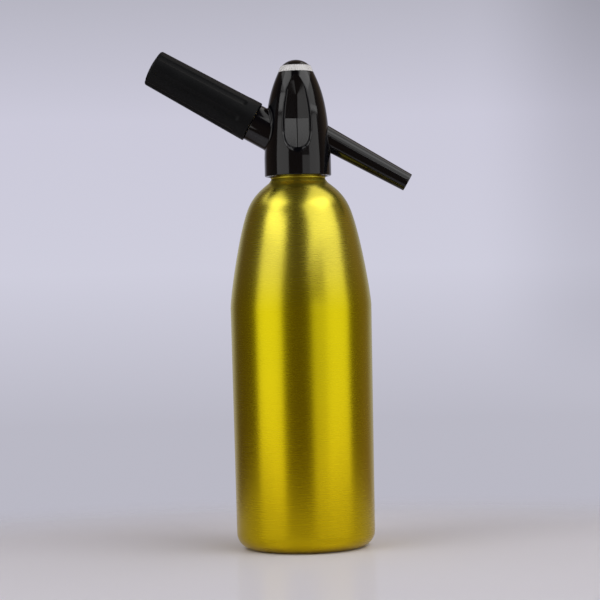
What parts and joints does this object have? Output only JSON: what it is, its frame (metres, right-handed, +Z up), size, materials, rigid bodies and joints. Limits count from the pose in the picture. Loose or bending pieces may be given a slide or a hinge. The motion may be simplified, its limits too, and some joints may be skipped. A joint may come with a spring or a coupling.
{
  "type": "soda siphon",
  "caption": "Soda siphon: a golden shouldered bottle with a screw-on glossy black head, a thumb button in a white ring, a slanting pouring nozzle and a fluted holder for a gas charger.",
  "frame": {"origin": "middle of the bottle's foot, on the plane that it stands on", "axes": "+Z up along the bottle's axis, +X towards the pouring nozzle, the charger holder points to -X, and the picture looks along +Y"},
  "size_m": [0.1698, 0.0902, 0.3188],
  "materials": {
    "gold_anodised": "satin yellow-gold anodised, turned",
    "black_gloss": "glossy black moulded plastic",
    "black_satin": "satin black moulded plastic",
    "white_gloss": "glossy white moulded plastic",
    "white_plastic": "natural white plastic",
    "brass": "turned brass",
    "steel": "bright stainless steel",
    "charger_steel": "bare drawn steel",
    "black_rubber": "black rubber",
    "red_rubber": "red silicone rubber"
  },
  "bodies": {
    "bottle": {"bottle": "gold_anodised"},
    "measuring_tube": {"measuring_tube": "white_plastic"},
    "neck_gasket": {"neck_gasket": "black_rubber"},
    "head": {"head_shell": "black_gloss", "neck_insert": "brass", "valve_block": "brass", "ring_nut": "white_gloss", "button_spring": "steel", "stem_oring": "black_rubber", "gland_nut": "brass", "dip_tube": "white_plastic", "tube_nut": "brass", "tube_gasket": "black_rubber", "nozzle": "black_gloss", "nozzle_oring": "black_rubber", "charger_spigot": "brass", "spigot_oring": "black_rubber", "check_valve": "red_rubber", "piercing_pin": "steel", "charger_gasket": "black_rubber"},
    "button": {"push_button": "black_gloss", "valve_stem": "steel", "valve_washer": "black_rubber"},
    "gas_charger": {"gas_charger": "charger_steel"},
    "holder_pad": {"charger_pad": "black_satin"},
    "holder": {"charger_holder": "black_satin"}
  },
  "joints": [
    {"name": "head_lift_off", "type": "slide", "parent": "bottle", "child": "measuring_tube", "axis": [0, 0, 1], "range_m": [0, 0.25]},
    {"name": "head_rise", "type": "slide", "parent": "measuring_tube", "child": "neck_gasket", "axis": [0, 0, 1], "range_m": [0, 0.0075]},
    {"name": "head_turn", "type": "hinge", "parent": "neck_gasket", "child": "head", "pos_m": [0, 0, 0.2372], "axis": [0, 0, 1], "range_deg": [0, 900]},
    {"name": "button_press", "type": "slide", "parent": "head", "child": "button", "axis": [0, 0, -1], "range_m": [0, 0.0035], "stiffness_N_per_m": 800, "springref_m": -0.004, "deforming": ["button_spring"]},
    {"name": "charger_rise", "type": "slide", "parent": "head", "child": "gas_charger", "axis": [-0.866, 0, 0.5], "range_m": [0, 0.006]},
    {"name": "holder_pull_off", "type": "slide", "parent": "gas_charger", "child": "holder_pad", "axis": [-0.866, 0, 0.5], "range_m": [0, 0.075]},
    {"name": "holder_turn", "type": "hinge", "parent": "holder_pad", "child": "holder", "pos_m": [0, 0, 0.2563], "axis": [-0.866, 0, 0.5], "range_deg": [0, 1080]}
  ],
  "couplings": [
    {"joint": "head_turn", "follows": "head_rise", "rad_per_m": 2094.4},
    {"joint": "holder_turn", "follows": "charger_rise", "rad_per_m": 3141.6}
  ]
}
